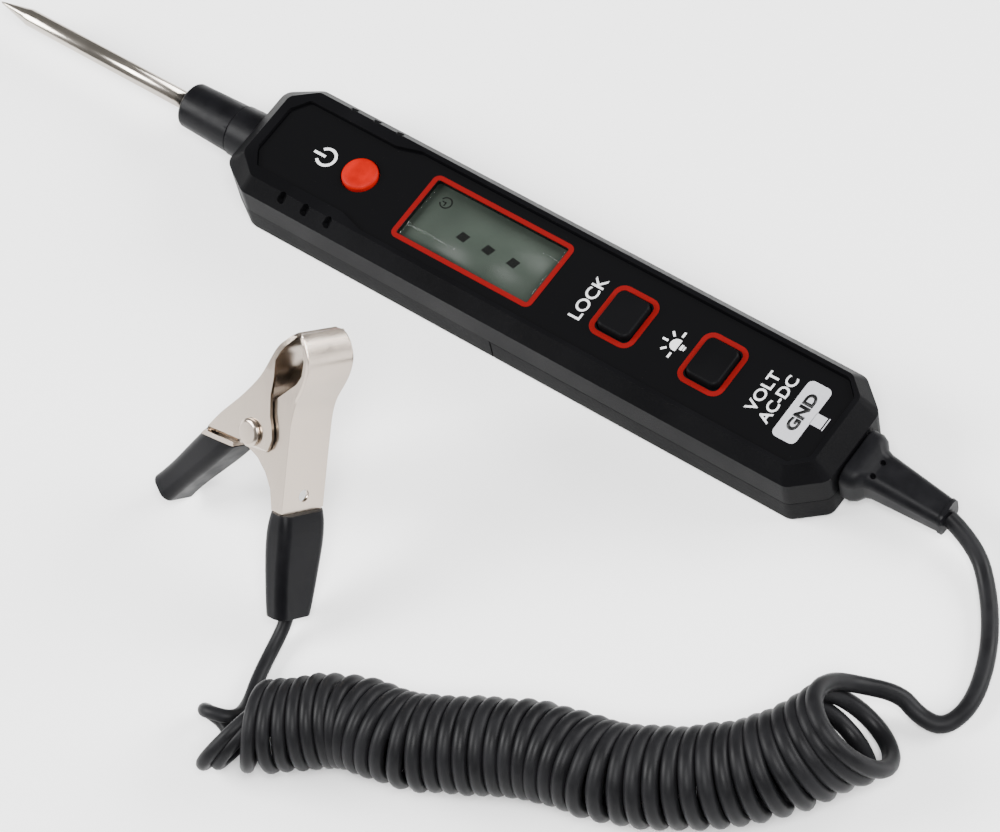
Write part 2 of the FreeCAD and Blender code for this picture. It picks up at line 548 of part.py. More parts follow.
def clip_fixed_jaw():
    """Fixed half: a channel with low lips at the mouth and ears for the rivet."""
    back = strip(FIXED_BACK, V(0, 1, 0), SHEET, 8).common(plan_mask(FIXED_MASK))
    free = [V(22.4, -10.6, 0), V(20.4, -11.6, 0), V(17.8, -12.2, 0), V(15.0, -12.0, 0),
            V(13.0, -10.8, 0), V(10.7, -8.1, 0), V(8.0, -5.0, 0), V(5.0, -0.6, 0),
            V(3.6, 2.2, 0), V(1.2, 3.6, 0), V(-1.6, 3.4, 0),
            V(-3.6, 1.6, 0), V(-5.0, -1.6, 0), V(-7.3, -4.2, 0), V(-10.3, -6.1, 0), V(-14.3, -7.0, 0),
            V(-29.0, -7.2, 0)]
    jaw = back
    for z in (CHANNEL - SHEET, -CHANNEL):
        jaw = jaw.fuse(side_sheet(free, FIXED_BACK, z, SHEET).common(box(-14.5, 25, -20, 20, -9, 9)))
    for z in (CHANNEL - 0.6 - SHEET, 0.6 - CHANNEL):
        jaw = jaw.fuse(side_sheet(free, FIXED_BACK, z, SHEET).common(box(-40, -13.0, -20, 20, -9, 9)))
    jaw = jaw.cut(rod(1.5, V(0, 0, -9), V(0, 0, 9)))
    return jaw.removeSplitter().cut(rod(1.3, V(-11.4, -14, 0), V(-11.4, -6, 0)))


MOVING_MASK = [(23.4, 4.6), (23.2, 5.2), (22.6, 5.8), (20.0, 6.3), (14.0, 6.6), (-2.4, 6.6), (-5.6, 3.9),
               (-21.0, 3.9)]


def clip_moving_jaw():
    """Moving half: its ears run outside the fixed half's ears."""
    inward = V(-0.66, -0.75, 0)
    back = strip(MOVING_BACK, inward, SHEET, 8).common(plan_mask(MOVING_MASK))
    free = [V(22.0, -9.3, 0), V(20.4, -7.6, 0), V(18.4, -6.0, 0), V(16.6, -5.0, 0), V(13.0, -5.2, 0),
            V(9.0, -4.7, 0), V(5.0, -5.1, 0), V(2.6, -5.9, 0), V(0.2, -6.3, 0), V(-2.2, -5.4, 0),
            V(-3.8, -3.6, 0), V(-4.4, -0.8, 0), V(-4.4, 3.0, 0), V(-4.6, 6.4, 0), V(-6.2, 9.6, 0),
            V(-19.9, 24.0, 0)]
    ends = list(reversed(MOVING_BACK))
    jaw = back
    pieces = ((5.9, 0.7, -4.6, 25, -20), (3.2, 0.7, -24, -3.6, 4.8), (3.2, 3.4, -4.6, -3.6, 4.8))
    for z, thickness, low_x, high_x, low_y in pieces:
        sheet = side_sheet(free, ends, z, thickness).common(box(low_x, high_x, low_y, 40, 0, 9))
        sheet = sheet.common(plan_mask(MOVING_MASK)) if high_x > 20 else sheet
        jaw = jaw.fuse([sheet, sheet.mirror(V(0, 0, 0), V(0, 0, 1))])
    return jaw.removeSplitter().cut(rod(1.55, V(0, 0, -9), V(0, 0, 9)))


def clip_rivet():
    shaft = rod(1.5, V(0, 0, -7.0), V(0, 0, 7.0))
    heads = []
    for side in (1, -1):
        heads.append(rod(2.9, V(0, 0, side * 6.65), V(0, 0, side * 7.3)))
        heads.append(Part.makeCone(2.9, 2.2, 0.4, V(0, 0, side * 7.3), V(0, 0, side)))
    return shaft.fuse(heads).removeSplitter()


def spring_half(low, high, leg_start, leg_end):
    """Part of the torsion spring round the rivet: turns drawn as a tube, and one straight leg."""
    winding = rod(3.5, V(0, 0, low), V(0, 0, high)).cut(rod(2.4, V(0, 0, -4), V(0, 0, 4)))
    return winding.fuse(rod(0.5, leg_start, leg_end)).removeSplitter()


def clip_spring():
    """Half of the spring that stays with the fixed jaw, its leg on that jaw's back."""
    return spring_half(-3.2, -0.05, V(0, -3.0, -2.6), V(-11.0, -8.6, -2.6))


def clip_spring_leg():
    """Half of the spring that turns with the moving jaw, its leg on that jaw's back."""
    return spring_half(0.05, 3.2, V(-1.5, 2.6, 2.6), V(-4.6, 8.4, 2.6))


def sleeve_section(centre, axis, half_flat, half_wide, corner):
    """Rounded rectangle across a handle: half_flat in the clip's plane, half_wide along the rivet."""
    side = axis.cross(V(0, 0, 1)) * half_flat
    up = V(0, 0, half_wide)
    corners = [centre - side - up, centre + side - up, centre + side + up, centre - side + up]
    return rounded_wire(corners, corner)


def grip_sleeve(stations, axis, wall, jaw):
    """Dipped vinyl grip: a loft that hugs the jaw at its mouth, hollow beyond that, with a closed end."""
    outer = Part.makeLoft([sleeve_section(c, axis, a, b, 2.2) for c, a, b in stations], True, False)
    inner = []
    for index, (centre, flat, wide) in enumerate(stations[1:]):
        shift = -1.6 if index == len(stations) - 2 else 0.0
        inner.append(sleeve_section(centre + axis * shift, axis, flat - wall, wide - wall, 1.4))
    grip = outer.cut(Part.makeLoft(inner, True, False)).cut(jaw)
    return max(grip.Solids, key=lambda solid: solid.Volume)


def clip_fixed_sleeve():
    stations = [(V(-14.9, -8.7, 0), 2.7, 5.75), (V(-17.5, -8.75, 0), 3.2, 5.95),
                (V(-26.0, -8.8, 0), 3.2, 5.8), (V(-31.0, -8.9, 0), 3.0, 5.4), (V(-37.2, -9.0, 0), 2.8, 4.6)]
    sleeve = grip_sleeve(stations, V(-1, 0, 0), 0.8, clip_fixed_jaw())
    return sleeve.cut(rod(TAIL_D / 2, V(-30, -9.0, 0), V(-40, -9.0, 0)))


def clip_moving_sleeve():
    root = V(3.0, 3.75, 0)
    stations = [(root + HANDLE_AXIS * 9.6, 3.5, 4.9), (root + HANDLE_AXIS * 12.0, 3.6, 5.0),
                (root + HANDLE_AXIS * 20.0, 3.5, 4.8), (root + HANDLE_AXIS * 34.5, 3.2, 4.6)]
    return grip_sleeve(stations, HANDLE_AXIS, 0.8, clip_moving_jaw())


def crimp_lug():
    """Crimp terminal on the fixed handle that takes the cord's conductor."""
    barrel = rod(1.2, V(-24.0, -8.1, 0), V(-31.0, -8.1, 0))
    return barrel.fuse([box(-24.2, -18.0, -9.3, -8.7, -2.0, 2.0), box(-24.4, -23.6, -9.3, -7.0, -1.5, 1.5)]
                       ).removeSplitter()


def cord_tail_route():
    """From inside the fixed sleeve's end down to the surface and on to the curly part."""
    rotation = FreeCAD.Rotation(CLIP_HEADING, -CLIP_RISE, CLIP_ROLL)
    start = CLIP_PIVOT + rotation.multVec(V(-36.6, -9.0, 0))
    bend = CLIP_PIVOT + rotation.multVec(V(-40.2, -9.0, 0))
    return [start, bend, V(-34.6, 96.5, 1.5), V(-36.0, 104.0, 1.5), V(-37.8, 110.6, 2.4),
            V(-42.6, 115.0, 5.0), V(-48.0, 115.0, 8.0)]


# ---------------------------------------------------------------- write every piece
save("front_shell", front_shell())
save("rear_shell", rear_shell())
save("battery_cover", battery_cover())
save("case_screws", *[screw(x, y, 1.1, 12.0, 2.1, 1.05) for x, y in CASE_SCREWS])
save("cover_screw", screw(COVER_SCREW[0], COVER_SCREW[1], 0.3, 8.5, 2.2, 1.05))
save("face_plate", face_plate())
save("display_window", display_window())
GLASS_HALF = LCD_HALF + 1.3
GUIDE_HALF = LCD_HALF + 1.0
save("lcd_glass", box(LCD_X0 - 1.3, LCD_X1 + 1.3, -GLASS_HALF, GLASS_HALF, 14.2, 16.05))
save("lcd_light_guide", box(LCD_X0 - 1.0, LCD_X1 + 1.0, -GUIDE_HALF, GUIDE_HALF, BOARD_TOP + 0.1, 14.1))
save("lcd_connector", box(LCD_X0 - 1.3, LCD_X1 + 1.3, 9.05, 10.6, BOARD_TOP, 14.6))
save("main_board", main_board())
save("board_parts", *board_parts())
save("board_screws", *[screw(x, y, BOARD_Z - 1.1, 14.6, 1.6, 0.75) for x, y in BOARD_SCREWS])
save("tact_switches", *[switch_body(x) for x in (POWER_X, HOLD_X, LIGHT_X)])
for name, x in (("power", POWER_X), ("hold", HOLD_X), ("light", LIGHT_X)):
    save(name + "_plunger", switch_plunger(x))
save("power_button", power_button())
save("hold_button", key_cap(HOLD_X))
save("light_button", key_cap(LIGHT_X))

save("battery_tray", battery_tray())
save("battery_cells", *[battery_cell(y) for y in (CELL_Y, -CELL_Y)])
TAIL_PLATE_X = CELL_X0 - 2.4
NOSE_PLATE_X = CELL_X0 + CELL_LENGTH + 2.4
save("battery_contacts", contact_plate(TAIL_PLATE_X, CELL_Y), contact_plate(TAIL_PLATE_X, -CELL_Y),
     box(NOSE_PLATE_X - 0.2, NOSE_PLATE_X + 0.2, -9.3, 9.3, 3.0, 11.5).cut(
         box(NOSE_PLATE_X - 1, NOSE_PLATE_X + 1, -2.9, 2.9, 2.0, 9.0)))
save("battery_springs", contact_spring(TAIL_PLATE_X + 0.2, CELL_Y, 1),
     contact_spring(NOSE_PLATE_X - 0.2, -CELL_Y, -1))

save("nose_sleeve", nose_sleeve())
save("probe_needle", probe_needle())
save("probe_ferrule", probe_ferrule())
PROBE_WIRE = [V(22.95, 0, PROBE_Z), V(18.5, 0, PROBE_Z), V(15.5, 1.8, 9.3), V(14.6, 2.4, BOARD_Z)]
GROUND_WIRE = [V(-109.1, 0, PROBE_Z), V(-106.2, 0, PROBE_Z), V(-105.5, 0, 13.0), V(-98.0, 0.8, 13.9),
               V(-90.5, 0, 13.85)]
save("probe_wire", tube(PROBE_WIRE, 1.2, "probe_wire"))
save("ground_wire", tube(GROUND_WIRE, 1.2, "ground_wire"))
save("strain_relief", strain_relief())
save("cord_clamp", cord_clamp())
save("cord_lead", tube(LEAD, LEAD_D, "cord_lead"))
save("cord_coil", tube(COIL, 2 * COIL_R, "cord_coil"))
save("cord_tail", tube(cord_tail_route(), TAIL_D, "cord_tail"))

save("clip_fixed_jaw", place(clip_fixed_jaw()))
save("clip_moving_jaw", place(clip_moving_jaw()))
save("clip_rivet", place(clip_rivet()))
save("clip_spring", place(clip_spring()))
save("clip_spring_leg", place(clip_spring_leg()))
save("clip_fixed_sleeve", place(clip_fixed_sleeve()))
save("clip_moving_sleeve", place(clip_moving_sleeve()))
save("crimp_lug", place(crimp_lug()))
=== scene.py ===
"""Looks for the circuit test light: camera, cord, printed face, materials and soft light.

Lengths are millimetres in the shared frame, and MM turns them into metres, unless a comment says metres.
"""
import bpy
import bmesh
import json
import math
from mathutils import Matrix, Vector


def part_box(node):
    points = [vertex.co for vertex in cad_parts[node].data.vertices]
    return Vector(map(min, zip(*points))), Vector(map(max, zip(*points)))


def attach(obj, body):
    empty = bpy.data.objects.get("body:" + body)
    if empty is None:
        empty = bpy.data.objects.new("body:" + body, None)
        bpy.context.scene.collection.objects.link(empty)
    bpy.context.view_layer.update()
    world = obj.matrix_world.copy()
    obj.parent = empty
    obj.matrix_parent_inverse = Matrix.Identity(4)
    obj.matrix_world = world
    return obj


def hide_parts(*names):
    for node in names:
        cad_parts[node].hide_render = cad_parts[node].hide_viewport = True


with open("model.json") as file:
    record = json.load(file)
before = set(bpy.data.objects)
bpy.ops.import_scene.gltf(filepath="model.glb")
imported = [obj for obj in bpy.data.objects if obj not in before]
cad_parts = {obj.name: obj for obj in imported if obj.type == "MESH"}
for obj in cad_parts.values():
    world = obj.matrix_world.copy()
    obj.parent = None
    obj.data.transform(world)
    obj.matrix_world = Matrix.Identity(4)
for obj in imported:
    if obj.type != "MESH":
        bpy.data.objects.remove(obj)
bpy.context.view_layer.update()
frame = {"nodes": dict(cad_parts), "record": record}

MM = 0.001
NODES = frame["nodes"]
UP = Vector((0, 0, 1))


def extent(node):
    """Lowest and highest corner of a CAD node, in millimetres."""
    low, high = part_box(node)
    return low / MM, high / MM


# ---------------------------------------------------------------- camera
CAMERA_AT = Vector((-380.45, 321.7, 726.3))
CAMERA_AIM = Vector((-45.85, 29.13, 9.0))
CAMERA_ROLL = -15.1           # degrees, about the line of sight
CAMERA_LENS = 148.0


def make_camera():
    data = bpy.data.cameras.new("camera")
    data.lens = CAMERA_LENS
    data.clip_start = 0.01
    camera = bpy.data.objects.new("camera", data)
    bpy.context.scene.collection.objects.link(camera)
    aim = (CAMERA_AIM - CAMERA_AT).to_track_quat("-Z", "Y").to_matrix().to_4x4()
    camera.matrix_world = (Matrix.Translation(CAMERA_AT * MM) @ aim
                           @ Matrix.Rotation(math.radians(CAMERA_ROLL), 4, "Z"))
    bpy.context.scene.camera = camera


make_camera()

# ---------------------------------------------------------------- cord
LEAD_R, TAIL_R = 1.83, 1.45   # the cord thins from the tester to the clip
# Control points of the route: LEAD and TAIL for the cord itself, COIL for the curly part's axis from above.
LEAD = [(-136.0, 0.0, 6.0), (-143.5, 1.6, 3.9), (-150.6, 8.5, 2.0), (-156.4, 17.0, 1.85),
        (-160.0, 26.0, 1.85), (-160.9, 33.0, 1.85), (-158.8, 38.4, 1.85), (-153.6, 38.9, 2.8),
        (-149.0, 37.8, 5.6)]
COIL = [(-148.3, 49.4), (-143.4, 57.8), (-138.7, 65.6), (-132.9, 71.3), (-126.5, 76.4), (-119.4, 80.5),
        (-112.3, 83.9), (-104.2, 85.4), (-96.4, 87.6), (-88.9, 91.5), (-81.3, 95.8), (-74.3, 99.4),
        (-67.2, 100.5), (-60.6, 102.1), (-55.8, 105.6), (-50.4, 110.2), (-42.3, 115.6)]
TAIL = [(-41.0, 117.2, 1.45), (-37.7, 113.3, 1.5), (-31.35, 112.75, 1.6), (-33.55, 114.65, 6.4),
        (-39.95, 112.85, 6.2), (-38.6, 107.8, 2.0), (-36.3, 102.0, 1.45), (-34.95, 95.9, 1.45),
        (-34.5, 92.0, 2.3), (-34.3, 89.3, 3.6), (-33.8, 86.6, 5.4)]
COIL_TURNS = 40.75
LOOSE_TURNS = 2.5             # at the clip's end, where the turns have come apart
POINTS_PER_TURN = 16
TURN_R = 8.9                  # centre line of a turn at the tester's end
TURN_SHRINK = 0.9             # how much smaller the turns get towards the clip
FIRST_TURN_EXTRA = 1.1        # how much larger the very first turn is
FIRST_TURN_FADE = 2.0         # turns over which that goes
LOOSE_SHRINK = 1.8            # how much smaller the loose turns are
CROWDING = 0.17               # turns sit closer together towards the clip by this share
START_ANGLE = 195             # degrees round the coil, where the first turn begins
LEAN, START_LEAN, LOOSE_LEAN = 6, 34, -30     # degrees that the turns' tops lean along the coil
SWING, END_SWING, LOOSE_SWING = 3, 50, 32     # degrees that the turns are turned about the vertical
START_LEAN_FADE = 7           # how fast the start's lean goes along the coil's length
END_SWING_FROM = 0.8          # part of the coil's length where the swing begins to grow
LOOSENING = 0.9               # turns over which the coil goes from neat to loose
UNEVEN = ((0.012, 1.7), (0.008, 4.1))         # the turns' sizes wander: by what share, radians per turn


def nurbs_curve(name, points, radii=None):
    """Open smooth spline with these control points, in millimetres, and round if radii are given."""
    data = bpy.data.curves.new(name, "CURVE")
    data.dimensions = "3D"
    data.resolution_u = 6
    spline = data.splines.new("NURBS")
    spline.points.add(len(points) - 1)
    for point, place in zip(spline.points, points):
        point.co = (*(Vector(place) * MM), 1.0)
    spline.order_u = 3
    spline.use_endpoint_u = True
    if radii:
        for point, radius in zip(spline.points, radii):
            point.radius = radius * MM
        data.bevel_depth = 1.0    # so that each point's radius is the real one
        data.bevel_resolution = 5
    curve = bpy.data.objects.new(name, data)
    bpy.context.scene.collection.objects.link(curve)
    return curve


def read_line(points):
    """Points along the smooth spline of a route, in millimetres, with their distances from its start."""
    guide = nurbs_curve("guide", points)
    bpy.context.view_layer.update()
    mesh = bpy.data.meshes.new_from_object(guide)
    line = [vertex.co / MM for vertex in mesh.vertices]
    bpy.data.objects.remove(guide)
    bpy.data.meshes.remove(mesh)
    distances = [0.0]
    for before, after in zip(line, line[1:]):
        distances.append(distances[-1] + (after - before).length)
    return line, distances


def at_distance(line, distances, where):
    """Place and direction at a distance along a line; it runs on straight past both ends."""
    i = 1
    while i < len(line) - 1 and distances[i] < where:
        i += 1
    step = line[i] - line[i - 1]
    part = (where - distances[i - 1]) / (distances[i] - distances[i - 1])
    return line[i - 1] + step * part, step.normalized()


def smooth_step(start, end, value):
    part = min(max((value - start) / (end - start), 0.0), 1.0)
    return part * part * (3 - 2 * part)


def cord_radius(along):
    """Radius of the cord at a part of the coil's length."""
    return LEAD_R + (TAIL_R - LEAD_R) * along


def coil_points():
    """Helix on the surface round the coil's axis.

    The first turns are larger, with their tops leaning towards the clip.  The last ones have come
    apart: they are turned about the vertical, and lean the other way.
    """
    line, distances = read_line([(x, y, 0) for x, y in COIL])
    loosens_at = COIL_TURNS - LOOSE_TURNS
    points = []
    for i in range(int(COIL_TURNS * POINTS_PER_TURN) + 1):
        turn = i / POINTS_PER_TURN
        along = turn / COIL_TURNS
        loose = smooth_step(loosens_at, loosens_at + LOOSENING, turn)
        reach = along + CROWDING * along * (1 - along)
        centre, ahead = at_distance(line, distances, distances[-1] * reach)
        side = UP.cross(ahead)
        lean = LEAN + START_LEAN * math.exp(-START_LEAN_FADE * along) + LOOSE_LEAN * loose
        lean = math.tan(math.radians(lean))
        swing = SWING + END_SWING * max(0.0, along - END_SWING_FROM) + LOOSE_SWING * loose
        swing = math.tan(math.radians(swing))
        radius = TURN_R - TURN_SHRINK * along - LOOSE_SHRINK * loose
        radius += FIRST_TURN_EXTRA * math.exp(-turn / FIRST_TURN_FADE)
        centre.z = radius + cord_radius(along)
        radius *= 1 + sum(share * math.sin(turn * rate) for share, rate in UNEVEN)
        angle = math.radians(START_ANGLE) - math.tau * turn
        out, rise = radius * math.cos(angle), radius * math.sin(angle)
        point = centre + side * out + UP * rise + ahead * (rise * lean + out * swing)
        point.z = max(point.z, cord_radius(along))
        points.append(point)
    return points


def make_cord():
    helix = coil_points()
    radii = [LEAD_R] * len(LEAD) + [cord_radius(i / len(helix)) for i in range(len(helix))]
    radii += [TAIL_R] * len(TAIL)
    cord = nurbs_curve("cord", LEAD + helix + TAIL, radii)
    cord.data.use_fill_caps = True
    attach(cord, "tester")
    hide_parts("cord_lead", "cord_coil", "cord_tail")
    return cord


cord = make_cord()


# ---------------------------------------------------------------- materials
def principled(name, color, roughness, **sockets):
    """Material with one Principled shader, and its node tree for further detail."""
    material = bpy.data.materials.new(name)
    material.use_nodes = True
    shader = material.node_tree.nodes["Principled BSDF"]
    shader.inputs["Base Color"].default_value = (*color, 1)
    shader.inputs["Roughness"].default_value = roughness
    for socket, value in sockets.items():
        shader.inputs[socket.replace("_", " ")].default_value = value
    return material


def add_noise(material, scale, detail=4.0, stretch=(1, 1, 1)):
    """Noise in object space, scaled per metre; returns the texture node."""
    nodes, links = material.node_tree.nodes, material.node_tree.links
    place = nodes.new("ShaderNodeTexCoord")
    mapping = nodes.new("ShaderNodeMapping")
    noise = nodes.new("ShaderNodeTexNoise")
    mapping.inputs["Scale"].default_value = stretch
    noise.inputs["Scale"].default_value = scale
    noise.inputs["Detail"].default_value = detail
    noise.inputs["Roughness"].default_value = 0.6
    links.new(place.outputs["Object"], mapping.inputs["Vector"])
    links.new(mapping.outputs["Vector"], noise.inputs["Vector"])
    return noise


def add_bump(material, noise, strength, distance):
    """Fine relief; a second call goes on top of the first."""
    nodes, links = material.node_tree.nodes, material.node_tree.links
    shader = nodes["Principled BSDF"]
    bump = nodes.new("ShaderNodeBump")
    bump.inputs["Strength"].default_value = strength
    bump.inputs["Distance"].default_value = distance
    links.new(noise.outputs["Fac"], bump.inputs["Height"])
    if shader.inputs["Normal"].links:
        links.new(shader.inputs["Normal"].links[0].from_socket, bump.inputs["Normal"])
    links.new(bump.outputs["Normal"], shader.inputs["Normal"])


def vary(material, noise, socket, low, high, start=0.35, end=0.65):
    """Drives a shader value or colour between two ends by a noise."""
    nodes, links = material.node_tree.nodes, material.node_tree.links
    shader = nodes["Principled BSDF"]
    ramp = nodes.new("ShaderNodeValToRGB")
    ramp.color_ramp.elements[0].position = start
    ramp.color_ramp.elements[1].position = end
    for element, value in zip(ramp.color_ramp.elements, (low, high)):
        element.color = (*value, 1) if isinstance(value, tuple) else (value, value, value, 1)
    links.new(noise.outputs["Fac"], ramp.inputs["Fac"])
    links.new(ramp.outputs["Color"], shader.inputs[socket])


def moulded_black(name, color, low_rough, high_rough, grain, relief):
    """Moulded plastic: fine grain, faint unevenness in its sheen and in its black."""
    material = principled(name, color, low_rough, IOR=1.1)
    fine = add_noise(material, grain, detail=3.0)
    broad = add_noise(material, 45.0, detail=2.0)
    vary(material, broad, "Roughness", low_rough, high_rough)
    vary(material, broad, "Base Color", tuple(c * 0.85 for c in color), tuple(c * 1.15 for c in color))
    add_bump(material, fine, 0.5, relief)
    return material


def soft_vinyl(name, color, roughness):
    """Soft black jacket: waxy sheen with faint handling marks."""
    material = principled(name, color, roughness, IOR=1.18)
    broad = add_noise(material, 160.0, detail=3.0)
    fine = add_noise(material, 2600.0, detail=2.0)
    vary(material, broad, "Roughness", roughness - 0.06, roughness + 0.08)
    vary(material, broad, "Base Color", tuple(c * 0.8 for c in color), tuple(c * 1.2 for c in color))
    add_bump(material, fine, 0.25, 0.00003)
    return material


def plated_metal(name, color, low_rough, high_rough, stretch, marks):
    """Plated or polished metal with fine drawn lines and faint tarnish."""
    material = principled(name, color, low_rough, Metallic=1.0)
    lines = add_noise(material, marks, detail=3.0, stretch=stretch)
    patches = add_noise(material, 90.0, detail=4.0)
    vary(material, patches, "Roughness", low_rough, high_rough)
    vary(material, patches, "Base Color", tuple(c * 0.93 for c in color), color)
    add_bump(material, lines, 0.18, 0.00004)
    return material


def printed(name, color, roughness):
    """Screen-printed ink, with a slightly uneven coat."""
    material = principled(name, color, roughness, Specular_IOR_Level=0.2)
    coat = add_noise(material, 1500.0, detail=2.0)
    vary(material, coat, "Base Color", tuple(c * 0.94 for c in color), color)
    add_bump(material, coat, 0.15, 0.00002)
    return material


def glossy_face(name):
    """High-gloss black plastic with hairline scratches."""
    material = principled(name, (0.002, 0.002, 0.0023), 0.09, IOR=1.3)
    hairlines = add_noise(material, 900.0, detail=5.0, stretch=(0.05, 1.0, 1.0))
    vary(material, hairlines, "Roughness", 0.07, 0.13)
    wave = add_noise(material, 30.0, detail=1.0)
    add_bump(material, wave, 0.1, 0.0002)
    return material


def liquid_crystal(name):
    """Grey-green display film, a little uneven."""
    material = principled(name, (0.03, 0.04, 0.032), 0.35, Specular_IOR_Level=0.1)
    cloud = add_noise(material, 55.0, detail=2.0)
    vary(material, cloud, "Base Color", (0.034, 0.044, 0.036), (0.06, 0.075, 0.062), 0.3, 0.7)
    return material


MATERIALS = {
    "case_front": moulded_black("case_front", (0.003, 0.003, 0.0034), 0.4, 0.48, 2400.0, 0.00006),
    "case_back": moulded_black("case_back", (0.004, 0.004, 0.0044), 0.5, 0.58, 1500.0, 0.00012),
    "switch_black": moulded_black("switch_black", (0.02, 0.02, 0.02), 0.45, 0.55, 2000.0, 0.00005),
    "key_rubber": moulded_black("key_rubber", (0.003, 0.003, 0.0033), 0.36, 0.44, 2800.0, 0.00004),
    "chip_black": moulded_black("chip_black", (0.02, 0.02, 0.021), 0.5, 0.6, 3000.0, 0.00003),
    "board_green": moulded_black("board_green", (0.02, 0.11, 0.045), 0.3, 0.42, 900.0, 0.00002),
    "zebra": moulded_black("zebra", (0.4, 0.2, 0.24), 0.5, 0.6, 1500.0, 0.00004),
    "white_plastic": moulded_black("white_plastic", (0.7, 0.7, 0.68), 0.25, 0.35, 800.0, 0.00002),
    "sleeve_vinyl": soft_vinyl("sleeve_vinyl", (0.0035, 0.0035, 0.0042), 0.42),
    "cord_black": soft_vinyl("cord_black", (0.0065, 0.0065, 0.0072), 0.44),
    "wire_red": soft_vinyl("wire_red", (0.4, 0.02, 0.02), 0.4),
    "wire_black": soft_vinyl("wire_black", (0.015, 0.015, 0.015), 0.4),
    "power_orange": soft_vinyl("power_orange", (0.27, 0.003, 0.0003), 0.5),
    "cell_jacket": printed("cell_jacket", (0.06, 0.08, 0.13), 0.25),
    "needle_steel": plated_metal("needle_steel", (0.46, 0.42, 0.37), 0.16, 0.24, (0.02, 1, 1), 2500.0),
    "clip_nickel": plated_metal("clip_nickel", (0.46, 0.395, 0.335), 0.17, 0.27, (1, 0.15, 0.15), 1400.0),
    "spring_steel": plated_metal("spring_steel", (0.5, 0.49, 0.47), 0.25, 0.35, (1, 1, 1), 2000.0),
    "screw_steel": plated_metal("screw_steel", (0.45, 0.45, 0.46), 0.3, 0.4, (1, 1, 1), 2000.0),
    "brass": plated_metal("brass", (0.7, 0.52, 0.2), 0.22, 0.32, (1, 1, 1), 1800.0),
    "face_gloss": glossy_face("face_gloss"),
    "lcd": liquid_crystal("lcd"),
    "display_clear": principled("display_clear", (0.01, 0.012, 0.01), 0.04, Alpha=0.12,
                                Specular_IOR_Level=0.3),
    "ink_white": printed("ink_white", (0.6, 0.6, 0.61), 0.4),
    "ink_silver": printed("ink_silver", (0.36, 0.36, 0.38), 0.45),
    "ink_red": printed("ink_red", (0.12, 0.0003, 0.0006), 0.45),
    "ink_black": printed("ink_black", (0.004, 0.004, 0.004), 0.4),
}


def dress(piece, material):
    piece.data.materials.clear()
    piece.data.materials.append(MATERIALS[material])


# ---------------------------------------------------------------- CAD pieces
ROUNDED = {                   # radius on a piece's true edges
    "front_shell": 0.35, "rear_shell": 0.3, "battery_cover": 0.3, "face_plate": 0.12, "nose_sleeve": 0.2,
    "power_button": 0.15, "hold_button": 0.25, "light_button": 0.25, "strain_relief": 0.2,
    "clip_fixed_jaw": 0.25, "clip_moving_jaw": 0.25, "clip_rivet": 0.12, "clip_fixed_sleeve": 0.25,
    "clip_moving_sleeve": 0.25}
SHARP_ANGLE = 32              # degrees; a sharper edge is a true one
COPLANAR_ANGLE = 0.6          # degrees; flatter than this is one face
WELD_GAP = 0.002


def finish_node(name, slot):
    """Procedural material, smooth shading between true edges, and a small radius on those edges."""
    node = NODES[name]
    dress(node, slot)
    node.data.shade_smooth()
    weld = node.modifiers.new("weld", "WELD")
    weld.merge_threshold = WELD_GAP * MM
    if name in ROUNDED:
        flat = node.modifiers.new("flat", "DECIMATE")
        flat.decimate_type = "DISSOLVE"
        flat.angle_limit = math.radians(COPLANAR_ANGLE)
        bevel = node.modifiers.new("edge", "BEVEL")
        bevel.width = ROUNDED[name] * MM
        bevel.segments = 2
        bevel.limit_method = "ANGLE"
        bevel.angle_limit = math.radians(SHARP_ANGLE)
        bevel.use_clamp_overlap = True
        normals = node.modifiers.new("normals", "WEIGHTED_NORMAL")
        normals.weight = 80
    else:
        node.data.set_sharp_from_angle(angle=math.radians(SHARP_ANGLE))


for subpart in frame["record"]["subparts"]:
    finish_node(subpart["node"], subpart["material_slot"])
dress(cord, "cord_black")


# ---------------------------------------------------------------- printed face
PANEL_Z = extent("face_plate")[1].z
LCD_Z = extent("lcd_glass")[1].z
INK = 0.03                    # thickness of a print
RING_HIGH = 0.12              # thickness of the printed rings
SINK = 0.01                   # how far a print goes into the surface under it


def rounded_outline(x, y, length, width, radius, steps=8):
    """Points round a rectangle with rounded corners, centred on x, y."""
    points = []
    for quadrant, (sx, sy) in enumerate(((1, 1), (-1, 1), (-1, -1), (1, -1))):
        centre = Vector((x + sx * (length / 2 - radius), y + sy * (width / 2 - radius)))
        for step in range(steps + 1):
            angle = math.pi / 2 * (quadrant + step / steps)
            points.append(centre + Vector((math.cos(angle), math.sin(angle))) * radius)
    return points


def mesh_piece(name, build, material, body="tester"):
    """New piece from a function that fills a bmesh in millimetres."""
    shape = bmesh.new()
    build(shape)
    bmesh.ops.scale(shape, vec=(MM, MM, MM), verts=shape.verts)
    bmesh.ops.recalc_face_normals(shape, faces=shape.faces)
    mesh = bpy.data.meshes.new(name)
    shape.to_mesh(mesh)
    shape.free()
    piece = bpy.data.objects.new(name, mesh)
    bpy.context.scene.collection.objects.link(piece)
    dress(piece, material)
    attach(piece, body)
    return piece


def add_plate(shape, outline, low, high):
    """Closed flat plate with a given outline."""
    face = shape.faces.new([shape.verts.new((p.x, p.y, low)) for p in outline])
    top = bmesh.ops.extrude_face_region(shape, geom=[face])["geom"]
    moved = [item for item in top if isinstance(item, bmesh.types.BMVert)]
    bmesh.ops.translate(shape, verts=moved, vec=(0, 0, high - low))


